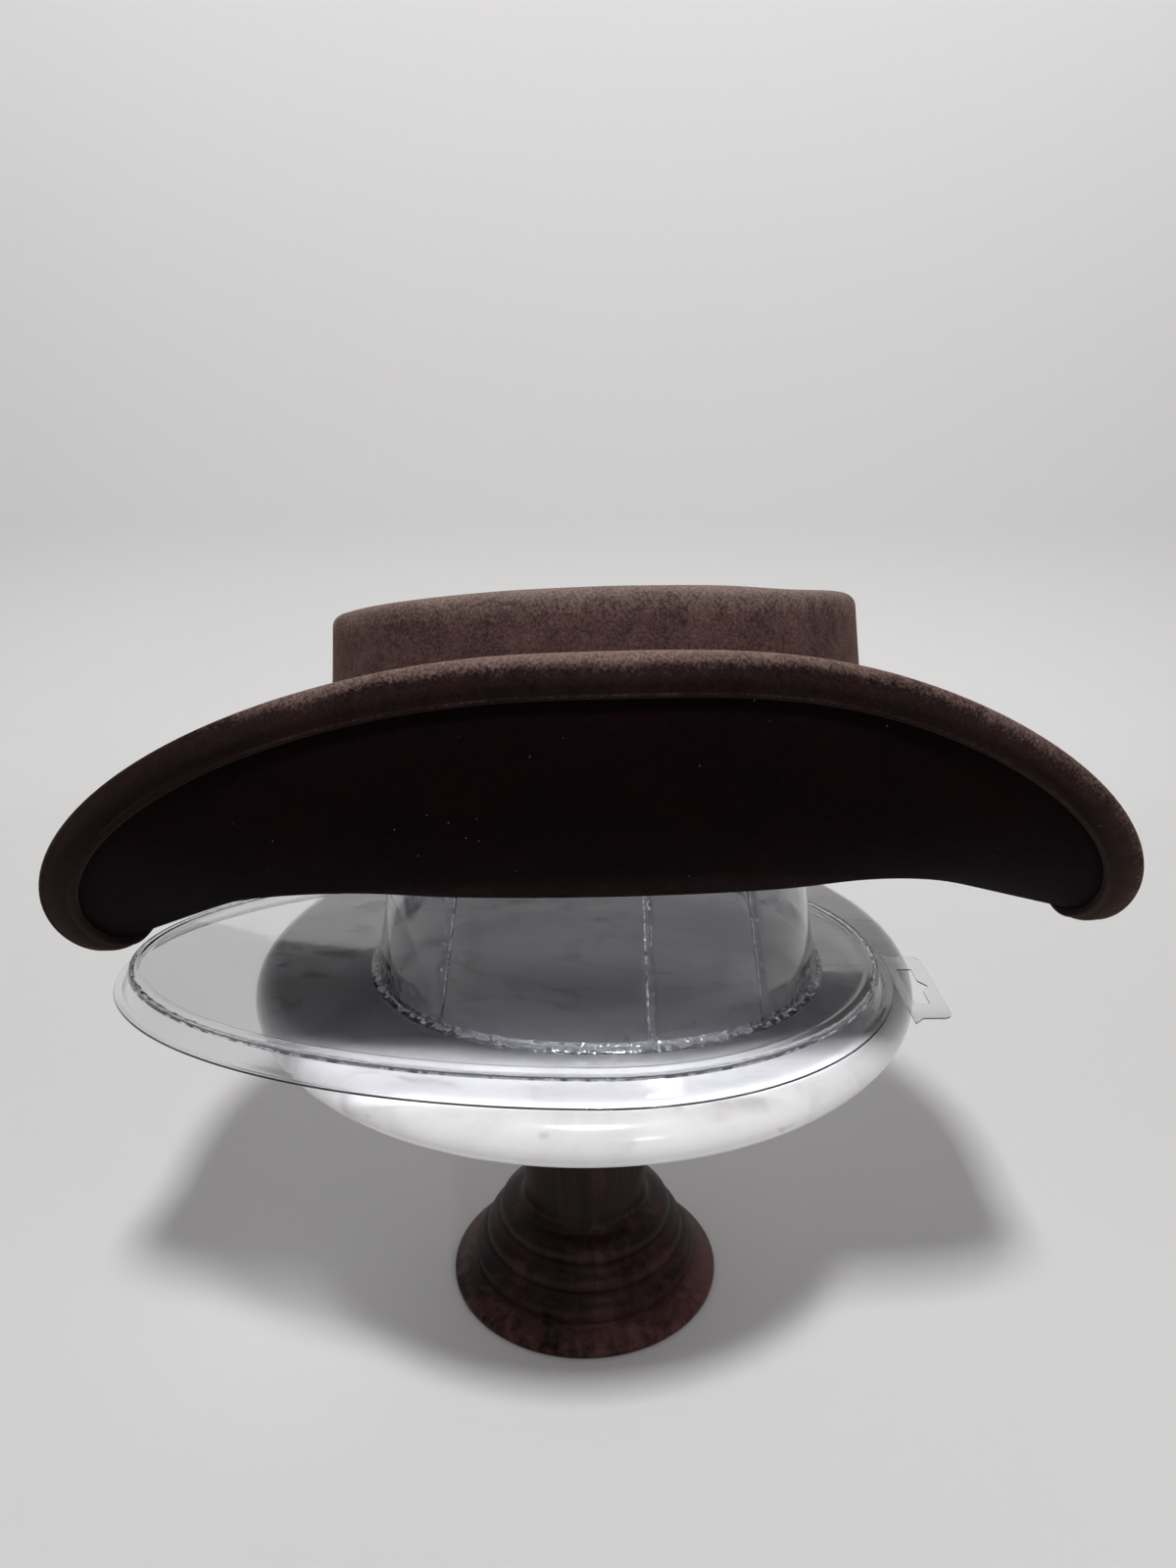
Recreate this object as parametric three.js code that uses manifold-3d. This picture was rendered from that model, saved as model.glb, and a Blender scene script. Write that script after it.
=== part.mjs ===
// Suede cowboy hat on its display stand, in millimetres, +Z up.
// The front of the hat points along -X. Its side that shows the underside of the brim faces -Y.
// The origin is on the floor, in the middle of the wooden foot.
import * as THREE from "three";
import Module from "manifold-3d";

// Suede body
const suedeThickness = 2.2;
const seamGap = 0.3;

// Crown
const crownHalfLength = 105.5;
const crownHalfWidth = 83;
const crownSquareness = 2.28;
const crownHeight = 97;
const crownLengthTaper = 6;
const crownWidthTaper = 8;
const crownFrontDrop = 6.5;
const crownBackDrop = 4;
const rimRadius = 5;
const recessDepth = 13;
const recessWallLean = 3;
const recessFillet = 5;

// Brim, with its edge turned under and sewn down
const brimWidth = 97;
const weltWidth = 13;
const weltPuff = 1.2;
// How the brim is rolled. Widths and root drops are shares of brimWidth, and slopes are degrees above level.
// The slope turns from the crown outward, later with a higher rollBend. A higher power keeps the
// rolled side longer before it passes into the dipped front or back.
const brimPlaces = {
  side: { widthShare: 0.98, dropShare: 0.02, rootSlope: 33, edgeSlope: 106 },
  front: { widthShare: 1.04, dropShare: 0.06, rootSlope: -18, rootPower: 3, edgeSlope: -19, edgePower: 9 },
  back: { widthShare: 0.94, dropShare: 0.07, rootSlope: -17, rootPower: 4.5, edgeSlope: -14, edgePower: 7.5 },
};
const rollBend = 1.44;
const widthPower = 3;
const rollForwardShare = 0.03;

// Pose of the hat on its holder
const hatCentreX = 6;
const hatCentreY = -31;
const hatAboveMarble = 60;
const hatLeanBack = 10;
const hatNoseDown = 1.6;
const hatTurn = 2.3;

// Turned wooden foot
const footRadius = 62;
const footEdgeHeight = 3;
const footConeHeight = 8;
const footConeTopRadius = 55;
const beadCount = 3;
const beadHeight = 10.2;
const beadTopRadius = 40;
const beadStep = 6;
const beadGroove = 2.5;
const neckCove = 5;
const neckRadius = 28;
const neckTopRadius = 31.5;
const footHeight = 149;

// Marble disc with a full round edge
const marbleRadius = 140;
const marbleThickness = 20;

// Clear formed holder. Its dome fits inside the crown, with room at the ends and the sides.
const holderCentreX = 5;
const holderCentreY = -28;
const holderThickness = 1;
const domeEndRoom = 17;
const domeSideRoom = 4;
const domeLengthTaper = 17;
const domeWidthTaper = 21;
const domeCapRise = 28;
const domeSquareness = 2.2;
const trayHeight = 9;
const traySideLedge = 16.5;
const trayBackLedge = 25.5;
const trayFrontLedge = 101.5;
const skirtFlare = 4;
const lipWidth = 3;
const tabLength = 17;
const tabWidth = 52;
const tabCornerRadius = 4;
const tabOffsetY = -15;
const slotLength = 29;
const slotWidth = 6;
const slotInset = 5;
const slotPoint = 3;
const slotPointHalfWidth = 4.5;

const domeHalfLength = crownHalfLength - domeEndRoom;
const domeHalfWidth = crownHalfWidth - domeSideRoom;
const domeTopHalfLength = domeHalfLength - domeLengthTaper;
const domeTopHalfWidth = domeHalfWidth - domeWidthTaper;
const trayHalfWidth = domeHalfWidth + traySideLedge;
const trayBackLength = domeHalfLength + trayBackLedge;
const trayFrontLength = domeHalfLength + trayFrontLedge;

// Facets
const hatSegments = 64;
const holderSegments = 44;
const marbleSegments = 48;
const footSegments = 32;
const rollSteps = 16;

const degree = Math.PI / 180;

// Materials

function suede(colour) {
  return new THREE.MeshStandardMaterial({ color: colour, roughness: 0.95, metalness: 0 });
}

const crownSuede = suede("#4a352e");
const brimSuede = suede("#2a1c18");
const weltSuede = suede("#43302a");
const clearPlastic = new THREE.MeshStandardMaterial({ color: "#e4e6ea", roughness: 0.08, metalness: 0 });
const whiteMarble = new THREE.MeshStandardMaterial({ color: "#e9e6e1", roughness: 0.25, metalness: 0 });
const darkWood = new THREE.MeshStandardMaterial({ color: "#3a2724", roughness: 0.45, metalness: 0 });

// Rings and skins

function angles(count) {
  return Array.from({ length: count }, (_, i) => (2 * Math.PI * i) / count);
}

// A point on an oval that is a little squarer than an ellipse.
function ovalPoint(theta, halfLength, halfWidth, squareness) {
  const x = Math.cos(theta);
  const y = Math.sin(theta);
  const reach = Math.abs(x / halfLength) ** squareness + Math.abs(y / halfWidth) ** squareness;
  const radius = reach ** (-1 / squareness);
  return new THREE.Vector2(x * radius, y * radius);
}

// The level direction that points straight out of the oval there.
function ovalOutward(theta, halfLength, halfWidth, squareness) {
  const point = ovalPoint(theta, halfLength, halfWidth, squareness);
  const power = squareness - 1;
  const x = (Math.sign(point.x) * Math.abs(point.x / halfLength) ** power) / halfLength;
  const y = (Math.sign(point.y) * Math.abs(point.y / halfWidth) ** power) / halfWidth;
  return new THREE.Vector2(x, y).normalize();
}

function addStrip(faces, first, second, count) {
  for (let i = 0; i < count; i += 1) {
    const next = (i + 1) % count;
    faces.push(first + i, first + next, second + next);
    faces.push(first + i, second + next, second + i);
  }
}

function addFan(faces, pole, ring, count, reversed) {
  for (let i = 0; i < count; i += 1) {
    const next = (i + 1) % count;
    faces.push(pole, ring + (reversed ? next : i), ring + (reversed ? i : next));
  }
}

function signedVolume(points, faces) {
  let volume = 0;
  for (let i = 0; i < faces.length; i += 3) {
    const [a, b, c] = [points[faces[i]], points[faces[i + 1]], points[faces[i + 2]]];
    volume += a.dot(new THREE.Vector3().crossVectors(b, c)) / 6;
  }
  return volume;
}

function geometryFrom(points, faces) {
  const outward = signedVolume(points, faces) > 0;
  const index = outward ? faces : faces.slice().reverse();
  const geometry = new THREE.BufferGeometry().setFromPoints(points);
  geometry.setIndex(index);
  geometry.computeVertexNormals();
  return geometry;
}

// One closed body through a list of rings. It closes at two poles, or back on its own first ring.
function skin(rings, poles) {
  const count = rings[0].length;
  const points = rings.flat();
  const faces = [];
  for (let i = 0; i + 1 < rings.length; i += 1) {
    addStrip(faces, i * count, (i + 1) * count, count);
  }
  if (poles) {
    const last = (rings.length - 1) * count;
    points.push(poles.first, poles.last);
    addFan(faces, points.length - 2, 0, count, true);
    addFan(faces, points.length - 1, last, count, false);
  } else {
    addStrip(faces, (rings.length - 1) * count, 0, count);
  }
  return geometryFrom(points, faces);
}

// Brim

function brimShape(theta) {
  const along = Math.cos(theta) - rollForwardShare * Math.sin(theta) ** 2;
  const end = along < 0 ? brimPlaces.front : brimPlaces.back;
  const blend = (name, power) =>
    THREE.MathUtils.lerp(brimPlaces.side[name], end[name], Math.abs(along) ** power);
  return {
    width: blend("widthShare", widthPower) * brimWidth,
    rootHeight: -blend("dropShare", widthPower) * brimWidth,
    rootSlope: blend("rootSlope", end.rootPower) * degree,
    edgeSlope: blend("edgeSlope", end.edgePower) * degree,
  };
}

function slopeAt(shape, distance) {
  const share = distance / shape.width;
  return shape.rootSlope + (shape.edgeSlope - shape.rootSlope) * share ** rollBend;
}

// A point at a distance out along the brim and at a depth below its upper face.
// The sheet is cut upright at its root, where it meets the crown.
function brimPoint(theta, distance, depth) {
  const shape = brimShape(theta);
  const step = distance / rollSteps;
  let reach = seamGap;
  let height = shape.rootHeight;
  for (let i = 0; i < rollSteps; i += 1) {
    const slope = slopeAt(shape, (i + 0.5) * step);
    reach += Math.cos(slope) * step;
    height += Math.sin(slope) * step;
  }
  const tilt = distance > 0 ? slopeAt(shape, distance) : 0;
  reach += Math.sin(tilt) * depth;
  height -= Math.cos(tilt) * depth;
  const base = ovalPoint(theta, crownHalfLength, crownHalfWidth, crownSquareness);
  const outward = ovalOutward(theta, crownHalfLength, crownHalfWidth, crownSquareness);
  return new THREE.Vector3(base.x + outward.x * reach, base.y + outward.y * reach, height);
}

// A ring of brim points. inFromEdge is measured inward from the edge of the turned brim.
function brimRing({ share, inFromEdge, depth }) {
  return angles(hatSegments).map((theta) => {
    const width = brimShape(theta).width;
    const open = width - weltWidth;
    return brimPoint(theta, inFromEdge === undefined ? open * share : width - inFromEdge, depth);
  });
}

// The turned edge folds around the end of the sheet.
const foldRadius = suedeThickness + seamGap / 2;
const sheetEnd = foldRadius + seamGap;
const weltStations = [1, 0.66, 0.33].map((share) => sheetEnd + (weltWidth - sheetEnd) * share);

function buildBrim() {
  const openShares = [0, 0.1, 0.26, 0.42, 0.58, 0.74, 0.88];
  const stations = openShares.map((share) => ({ share }));
  [...weltStations, sheetEnd].forEach((inFromEdge) => stations.push({ inFromEdge }));
  const upper = stations.map((station) => brimRing({ ...station, depth: 0 }));
  const lower = stations.map((station) => brimRing({ ...station, depth: suedeThickness }));
  const mesh = new THREE.Mesh(skin([...lower, ...upper.reverse()]), brimSuede);
  mesh.name = "brim";
  return mesh;
}

function buildWelt() {
  const foldTurns = [90, 45, 0, -45, -90];
  const underDepth = 2 * foldRadius;
  const topDepth = suedeThickness + seamGap;
  const fold = foldTurns.map((turn) => ({
    inFromEdge: foldRadius * (1 - Math.cos(turn * degree)),
    depth: foldRadius * (1 - Math.sin(turn * degree)),
  }));
  const puffed = [0.33, 0.66, 0.92].map((share) => ({
    inFromEdge: foldRadius + (weltWidth - foldRadius) * share,
    depth: underDepth + weltPuff * Math.sin(Math.PI * share),
  }));
  const hem = [{ inFromEdge: weltWidth, depth: (underDepth + topDepth) / 2 }];
  const against = [...weltStations, sheetEnd].map((inFromEdge) => ({ inFromEdge, depth: topDepth }));
  // The inside of the fold stays clear of the end of the sheet.
  const inside = [{ inFromEdge: foldRadius, depth: topDepth }, { inFromEdge: foldRadius, depth: 0 }];
  const section = [...fold.slice(1), ...puffed, ...hem, ...against, ...inside];
  const mesh = new THREE.Mesh(skin(section.map(brimRing)), weltSuede);
  mesh.name = "brim_edge_welt";
  return mesh;
}

// Crown

// How far each direction lies toward the front or the back, and how much lower the rim is there.
function rimDrop(theta) {
  const along = Math.cos(theta);
  const drop = along < 0 ? crownFrontDrop : crownBackDrop;
  return drop * Math.abs(along) ** 2.5;
}

// Side wall, rounded rim, recess wall and the fillet at its floor, as an inset and a height.
function crownSection(theta, inside) {
  const wall = inside ? suedeThickness : 0;
  const rootHeight = brimShape(theta).rootHeight - suedeThickness;
  const rimCentre = crownHeight - rimRadius - rimDrop(theta);
  const radius = rimRadius - wall;
  const section = [0, 0.25, 0.5, 0.75, 1].map((share) => ({
    taper: share,
    inset: wall,
    height: rootHeight + (rimCentre - rootHeight) * share,
  }));
  [40, 80, 120, 160].forEach((turn) => section.push({
    taper: 1,
    inset: rimRadius - radius * Math.cos(turn * degree),
    height: rimCentre + radius * Math.sin(turn * degree),
  }));
  const floorHeight = crownHeight - recessDepth - wall;
  const wallFoot = 2 * rimRadius + recessWallLean - wall;
  section.push({ taper: 1, inset: wallFoot, height: Math.min(floorHeight + recessFillet, rimCentre) });
  section.push({ taper: 1, inset: wallFoot + recessFillet, height: floorHeight });
  return section;
}

function crownRings(inside) {
  const sections = angles(hatSegments).map((theta) => crownSection(theta, inside));
  return sections[0].map((_, row) => angles(hatSegments).map((theta, i) => {
    const { taper, inset, height } = sections[i][row];
    const halfLength = crownHalfLength - crownLengthTaper * taper - inset;
    const halfWidth = crownHalfWidth - crownWidthTaper * taper - inset;
    const point = ovalPoint(theta, halfLength, halfWidth, crownSquareness);
    return new THREE.Vector3(point.x, point.y, height);
  }));
}

function buildCrown() {
  const floor = crownHeight - recessDepth;
  const outer = crownRings(false).reverse();
  const inner = crownRings(true);
  const poles = {
    first: new THREE.Vector3(0, 0, floor),
    last: new THREE.Vector3(0, 0, floor - suedeThickness),
  };
  const mesh = new THREE.Mesh(skin([...outer, ...inner], poles), crownSuede);
  mesh.name = "crown";
  return mesh;
}

// Stand

const marbleTop = footHeight + seamGap + marbleThickness;
const holderBottom = marbleTop + seamGap;

function buildFoot() {
  const profile = [
    new THREE.Vector2(0, 0),
    new THREE.Vector2(footRadius, 0),
    new THREE.Vector2(footRadius, footEdgeHeight),
    new THREE.Vector2(footConeTopRadius, footConeHeight),
  ];
  for (let bead = 0; bead < beadCount; bead += 1) {
    const radius = beadTopRadius + beadStep * (beadCount - 1 - bead);
    const bottom = footConeHeight + beadHeight * bead;
    profile.push(new THREE.Vector2(radius - beadGroove, bottom));
    profile.push(new THREE.Vector2(radius, bottom + beadHeight * 0.3));
    profile.push(new THREE.Vector2(radius - beadGroove * 0.25, bottom + beadHeight * 0.75));
  }
  const beadsTop = footConeHeight + beadHeight * beadCount;
  profile.push(new THREE.Vector2(neckRadius + neckCove, beadsTop));
  profile.push(new THREE.Vector2(neckRadius, beadsTop + neckCove));
  profile.push(new THREE.Vector2(neckTopRadius, footHeight));
  profile.push(new THREE.Vector2(0, footHeight));
  const geometry = new THREE.LatheGeometry(profile, footSegments).rotateX(90 * degree);
  const mesh = new THREE.Mesh(geometry, darkWood);
  mesh.name = "wooden_foot";
  return mesh;
}

function buildMarble() {
  const edge = marbleThickness / 2;
  const profile = [new THREE.Vector2(0, 0)];
  for (let turn = -90; turn <= 90; turn += 30) {
    const reach = marbleRadius - edge + edge * Math.cos(turn * degree);
    profile.push(new THREE.Vector2(reach, edge + edge * Math.sin(turn * degree)));
  }
  profile.push(new THREE.Vector2(0, marbleThickness));
  const geometry = new THREE.LatheGeometry(profile, marbleSegments).rotateX(90 * degree);
  const mesh = new THREE.Mesh(geometry, whiteMarble);
  mesh.name = "marble_disc";
  mesh.position.z = footHeight + seamGap;
  return mesh;
}

const hatPose = new THREE.Euler(-hatLeanBack * degree, -hatNoseDown * degree, -hatTurn * degree);
const hatPlace = new THREE.Vector3(hatCentreX, hatCentreY, marbleTop + hatAboveMarble);

// Height of the widest ring of the rounded dome top, so that the crown just rests on the dome.
function domeCapHeight() {
  const up = new THREE.Vector3(0, 0, 1).applyEuler(hatPose);
  const under = new THREE.Vector3(0, 0, crownHeight - recessDepth - suedeThickness);
  const seat = under.applyEuler(hatPose).add(hatPlace).dot(up) - seamGap;
  const bulge = new THREE.Vector3(
    domeTopHalfLength * up.x,
    domeTopHalfWidth * up.y,
    domeCapRise * up.z,
  );
  const level = seat - bulge.length() - holderCentreX * up.x - holderCentreY * up.y;
  return level / up.z;
}

// The tray is longer in front of the dome than behind it.
function trayRing(grow, height) {
  return angles(holderSegments).map((theta) => {
    const length = (Math.cos(theta) < 0 ? trayFrontLength : trayBackLength) + grow;
    const point = ovalPoint(theta, length, trayHalfWidth + grow, 2);
    return new THREE.Vector3(point.x, point.y, height);
  });
}

function domeRing(halfLength, halfWidth, height) {
  return angles(holderSegments).map((theta) => {
    const point = ovalPoint(theta, halfLength, halfWidth, domeSquareness);
    return new THREE.Vector3(point.x, point.y, height);
  });
}

// One face of the formed sheet, from the lip up to the top of the dome.
function holderFace(wall) {
  const cap = domeCapHeight() - holderBottom;
  const rings = [
    trayRing(skirtFlare + lipWidth, holderThickness - wall),
    trayRing(skirtFlare - wall, holderThickness - wall),
    trayRing(-wall, trayHeight - wall),
    domeRing(domeHalfLength - wall, domeHalfWidth - wall, trayHeight - wall),
  ];
  [0.5, 1].forEach((share) => rings.push(domeRing(
    THREE.MathUtils.lerp(domeHalfLength, domeTopHalfLength, share) - wall,
    THREE.MathUtils.lerp(domeHalfWidth, domeTopHalfWidth, share) - wall,
    THREE.MathUtils.lerp(trayHeight, cap, share),
  )));
  [25, 50, 72].forEach((turn) => rings.push(domeRing(
    (domeTopHalfLength - wall) * Math.cos(turn * degree),
    (domeTopHalfWidth - wall) * Math.cos(turn * degree),
    cap + (domeCapRise - wall) * Math.sin(turn * degree),
  )));
  return { rings, top: new THREE.Vector3(0, 0, cap + domeCapRise - wall) };
}

// A long slot beside the lip, with a pointed tip in the middle of its outer side.
function slotHole() {
  const half = slotLength / 2;
  const far = slotInset + slotWidth;
  const hole = new THREE.Path();
  hole.moveTo(slotInset, -half);
  hole.lineTo(far, -half);
  hole.lineTo(far, -slotPointHalfWidth);
  hole.lineTo(far + slotPoint, 0);
  hole.lineTo(far, slotPointHalfWidth);
  hole.lineTo(far, half);
  hole.lineTo(slotInset, half);
  hole.closePath();
  return hole;
}

// The hang tab runs back under the lip, where the two are one piece.
function tabGeometry() {
  const half = tabWidth / 2;
  const chamfer = tabCornerRadius;
  const shape = new THREE.Shape();
  shape.moveTo(-lipWidth, -half - chamfer);
  shape.lineTo(0, -half - chamfer);
  shape.lineTo(chamfer, -half);
  shape.lineTo(tabLength - chamfer, -half);
  shape.lineTo(tabLength, -half + chamfer);
  shape.lineTo(tabLength, half - chamfer);
  shape.lineTo(tabLength - chamfer, half);
  shape.lineTo(chamfer, half);
  shape.lineTo(0, half + chamfer);
  shape.lineTo(-lipWidth, half + chamfer);
  shape.closePath();
  shape.holes.push(slotHole());
  return new THREE.ExtrudeGeometry(shape, { depth: holderThickness, bevelEnabled: false });
}

const wasm = await Module();
wasm.setup();

function solidFrom(geometry) {
  const position = geometry.getAttribute("position");
  const lookup = new Map();
  const points = [];
  const faces = [];
  const corners = geometry.index ? geometry.index.count : position.count;
  for (let i = 0; i < corners; i += 1) {
    const vertex = geometry.index ? geometry.index.getX(i) : i;
    const point = new THREE.Vector3().fromBufferAttribute(position, vertex);
    const key = point.toArray().map((value) => value.toFixed(4)).join(" ");
    if (!lookup.has(key)) {
      lookup.set(key, points.length);
      points.push(point);
    }
    faces.push(lookup.get(key));
  }
  return new wasm.Manifold(new wasm.Mesh({
    numProp: 3,
    vertProperties: new Float32Array(points.flatMap((point) => point.toArray())),
    triVerts: new Uint32Array(faces),
  }));
}

function geometryOf(solid) {
  const mesh = solid.getMesh();
  const geometry = new THREE.BufferGeometry();
  geometry.setAttribute("position", new THREE.BufferAttribute(new Float32Array(mesh.vertProperties), 3));
  geometry.setIndex(new THREE.BufferAttribute(new Uint32Array(mesh.triVerts), 1));
  geometry.computeVertexNormals();
  return geometry;
}

function buildHolder() {
  const outer = holderFace(0);
  const inner = holderFace(holderThickness);
  const sheet = skin([...outer.rings.reverse(), ...inner.rings], { first: outer.top, last: inner.top });
  const tab = tabGeometry();
  tab.translate(trayBackLength + skirtFlare + lipWidth / 2, tabOffsetY, 0);
  const mesh = new THREE.Mesh(geometryOf(solidFrom(sheet).add(solidFrom(tab))), clearPlastic);
  mesh.name = "clear_holder";
  mesh.position.set(holderCentreX, holderCentreY, holderBottom);
  return mesh;
}

// Assembly

const hat = new THREE.Group();
hat.add(buildCrown(), buildBrim(), buildWelt());
hat.rotation.copy(hatPose);
hat.position.copy(hatPlace);

const stand = new THREE.Group();
stand.add(buildHolder(), buildMarble(), buildFoot());

const group = new THREE.Group();
group.add(hat, stand);

export default group;
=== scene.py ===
import math

import bmesh
import bpy
from mathutils import Matrix, Vector, noise


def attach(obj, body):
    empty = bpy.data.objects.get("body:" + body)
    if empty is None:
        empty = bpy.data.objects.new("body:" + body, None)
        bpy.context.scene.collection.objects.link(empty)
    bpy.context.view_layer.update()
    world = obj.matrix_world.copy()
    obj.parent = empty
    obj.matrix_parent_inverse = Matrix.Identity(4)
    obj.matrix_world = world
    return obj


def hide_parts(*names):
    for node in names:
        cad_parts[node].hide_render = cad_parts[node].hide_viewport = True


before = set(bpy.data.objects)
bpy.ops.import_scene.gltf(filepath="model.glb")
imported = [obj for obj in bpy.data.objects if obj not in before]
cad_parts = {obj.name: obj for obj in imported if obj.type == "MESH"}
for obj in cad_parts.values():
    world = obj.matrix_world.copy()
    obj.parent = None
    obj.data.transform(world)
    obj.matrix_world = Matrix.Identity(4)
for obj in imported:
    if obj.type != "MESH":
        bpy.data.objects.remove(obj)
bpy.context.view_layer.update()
print("frame loaded")

# All sizes below are millimetres unless a name says degrees or share. Blender itself works in metres.
mm = 0.001


# Small helpers for meshes and materials.


def linearColour(hexText, alpha=1.0):  # sRGB hex to linear
    parts = [int(hexText[i:i + 2], 16) / 255 for i in (1, 3, 5)]
    linear = [c / 12.92 if c <= 0.04045 else ((c + 0.055) / 1.055) ** 2.4 for c in parts]
    return (*linear, alpha)


def mix(a, b, share):
    return a + (b - a) * share


def smoothStep(low, high, value):
    share = min(max((value - low) / (high - low), 0), 1)
    return share * share * (3 - 2 * share)


def ovalPoint(theta, halfLength, halfWidth, power):
    x, y = math.cos(theta), math.sin(theta)
    reach = abs(x / halfLength) ** power + abs(y / halfWidth) ** power
    radius = reach ** (-1 / power)
    return Vector((x * radius, y * radius, 0))


def ovalOutward(theta, halfLength, halfWidth, power):
    point = ovalPoint(theta, halfLength, halfWidth, power)
    x = math.copysign(abs(point.x / halfLength) ** (power - 1) / halfLength, point.x)
    y = math.copysign(abs(point.y / halfWidth) ** (power - 1) / halfWidth, point.y)
    return Vector((x, y, 0)).normalized()


# Grows a skin ring by ring from one circle. rings is a list of functions of the angle, each giving a
# point in mm.
# ends is "loop" for a section that closes on itself, "poles" to close both ends at a point, or "open".
# masks maps an attribute's name to a function of the ring's number and the angle.
def growSkin(name, rings, columns, ends, place=None, masks=None):
    place = place or Matrix.Identity(4)
    bm = bmesh.new()
    column = bm.verts.layers.int.new("column")
    row = bm.verts.layers.int.new("row")
    for mask in masks or {}:
        bm.verts.layers.float.new(mask)
    bmesh.ops.create_circle(bm, segments=columns, radius=1)
    for vert in bm.verts:
        turn = math.atan2(vert.co.y, vert.co.x) % (2 * math.pi)
        vert[column] = round(turn * columns / (2 * math.pi)) % columns
        vert.co = rings[0](2 * math.pi * vert[column] / columns)
    firstEdges = list(bm.edges)
    firstVerts = list(bm.verts)
    edges, verts = firstEdges, firstVerts
    for number, ring in enumerate(rings[1:], start=1):
        grown = bmesh.ops.extrude_edge_only(bm, edges=edges)["geom"]
        edges = [item for item in grown if isinstance(item, bmesh.types.BMEdge)]
        verts = [item for item in grown if isinstance(item, bmesh.types.BMVert)]
        for vert in verts:
            vert[row] = number
            vert.co = ring(2 * math.pi * vert[column] / columns)
    for mask, value in (masks or {}).items():
        layer = bm.verts.layers.float[mask]
        for vert in bm.verts:
            vert[layer] = value(vert[row], 2 * math.pi * vert[column] / columns)
    if ends == "loop":
        bmesh.ops.bridge_loops(bm, edges=firstEdges + edges)
    if ends == "poles":
        for loop in (firstVerts, verts):
            centre = sum((vert.co for vert in loop), Vector()) / len(loop)
            bmesh.ops.pointmerge(bm, verts=loop, merge_co=centre)
    bmesh.ops.recalc_face_normals(bm, faces=bm.faces)
    bmesh.ops.transform(bm, matrix=Matrix.Scale(mm, 4) @ place, verts=bm.verts)
    return finishPiece(name, bm)


def finishPiece(name, bm, smooth=True):
    mesh = bpy.data.meshes.new(name)
    for face in bm.faces:
        face.smooth = smooth
    bm.to_mesh(mesh)
    bm.free()
    piece = bpy.data.objects.new(name, mesh)
    bpy.context.scene.collection.objects.link(piece)
    return piece


def dress(piece, material, slotName, *nodes):
    piece.data.materials.clear()
    piece.data.materials.append(material)
    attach(piece, "root")
    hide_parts(*nodes)
    print(piece.name, "made,", sum(len(p.vertices) - 2 for p in piece.data.polygons), "triangles")


def newMaterial(name):
    material = bpy.data.materials.new(name)
    material.use_nodes = True
    material.node_tree.nodes.clear()
    return material


# Adds one node with its settings, and links each named input to an output, or sets its value.
# stops gives a colour ramp its positions and hex colours.
def addNode(material, kind, inputs=None, stops=(), **settings):
    tree = material.node_tree
    added = tree.nodes.new(kind)
    for key, value in settings.items():
        setattr(added, key, value)
    for key, value in (inputs or {}).items():
        if isinstance(value, bpy.types.NodeSocket):
            tree.links.new(value, added.inputs[key])
        else:
            added.inputs[key].default_value = value
    for number, (position, hexText) in enumerate(stops):
        elements = added.color_ramp.elements
        stop = elements[number] if number < 2 else elements.new(position)
        stop.position = position
        stop.color = linearColour(hexText)
    return added


# The hat's pose on its holder, and the shape that crown, brim and edge share.

hat = {
    "centre": (6, -31, 229.3),
    "leanBackDegrees": 10,
    "noseDownDegrees": 1.6,
    "turnDegrees": 2.3,
    "thickness": 2.2,
    "seam": 0.3,
    "columns": 288,
}
hatPlace = (
    Matrix.Translation(hat["centre"])
    @ Matrix.Rotation(math.radians(-hat["leanBackDegrees"]), 4, "X")
    @ Matrix.Rotation(math.radians(-hat["noseDownDegrees"]), 4, "Y")
    @ Matrix.Rotation(math.radians(-hat["turnDegrees"]), 4, "Z")
)

brim = {
    "width": 97,
    "side": {"widthShare": 0.98, "dropShare": 0.02, "rootSlope": 33, "edgeSlope": 106},
    "front": {
        "widthShare": 1.04, "dropShare": 0.06, "rootSlope": -18, "rootPower": 3, "edgeSlope": -19,
        "edgePower": 9},
    "back": {
        "widthShare": 0.94, "dropShare": 0.07, "rootSlope": -17, "rootPower": 4.5, "edgeSlope": -14,
        "edgePower": 7.5},
    "rollBend": 1.44,
    "widthPower": 3,
    "rollForwardShare": 0.03,
    "ripple": 0.35,
    "rollSteps": 24,
}
crown = {
    "halfLength": 105.5,
    "halfWidth": 83,
    "ovalPower": 2.28,
    "height": 97,
    "lengthTaper": 6,
    "widthTaper": 8,
    "frontDrop": 6.5,
    "backDrop": 4,
    "rimRadius": 5,
    "recessDepth": 13,
    "recessWallLean": 3,
    "recessFillet": 5,
    "rimWave": 0.8,
    "dent": 0.7,
    "wallRows": 20,
    "rimRows": 12,
    "rimTurnDegrees": 168,
    "highlightRow": 27,  # the row on the rim where the painted highlight is lightest
    "filletRows": 6,
}


def brimShape(theta):
    along = math.cos(theta) - brim["rollForwardShare"] * math.sin(theta) ** 2
    end = brim["front"] if along < 0 else brim["back"]

    def blend(key, power):
        return mix(brim["side"][key], end[key], abs(along) ** power)

    return {
        "width": blend("widthShare", brim["widthPower"]) * brim["width"],
        "rootHeight": -blend("dropShare", brim["widthPower"]) * brim["width"],
        "rootSlope": math.radians(blend("rootSlope", end["rootPower"])),
        "edgeSlope": math.radians(blend("edgeSlope", end["edgePower"])),
    }


def slopeAt(shape, distance):
    share = max(distance, 0) / shape["width"]
    return shape["rootSlope"] + (shape["edgeSlope"] - shape["rootSlope"]) * share ** brim["rollBend"]


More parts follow.
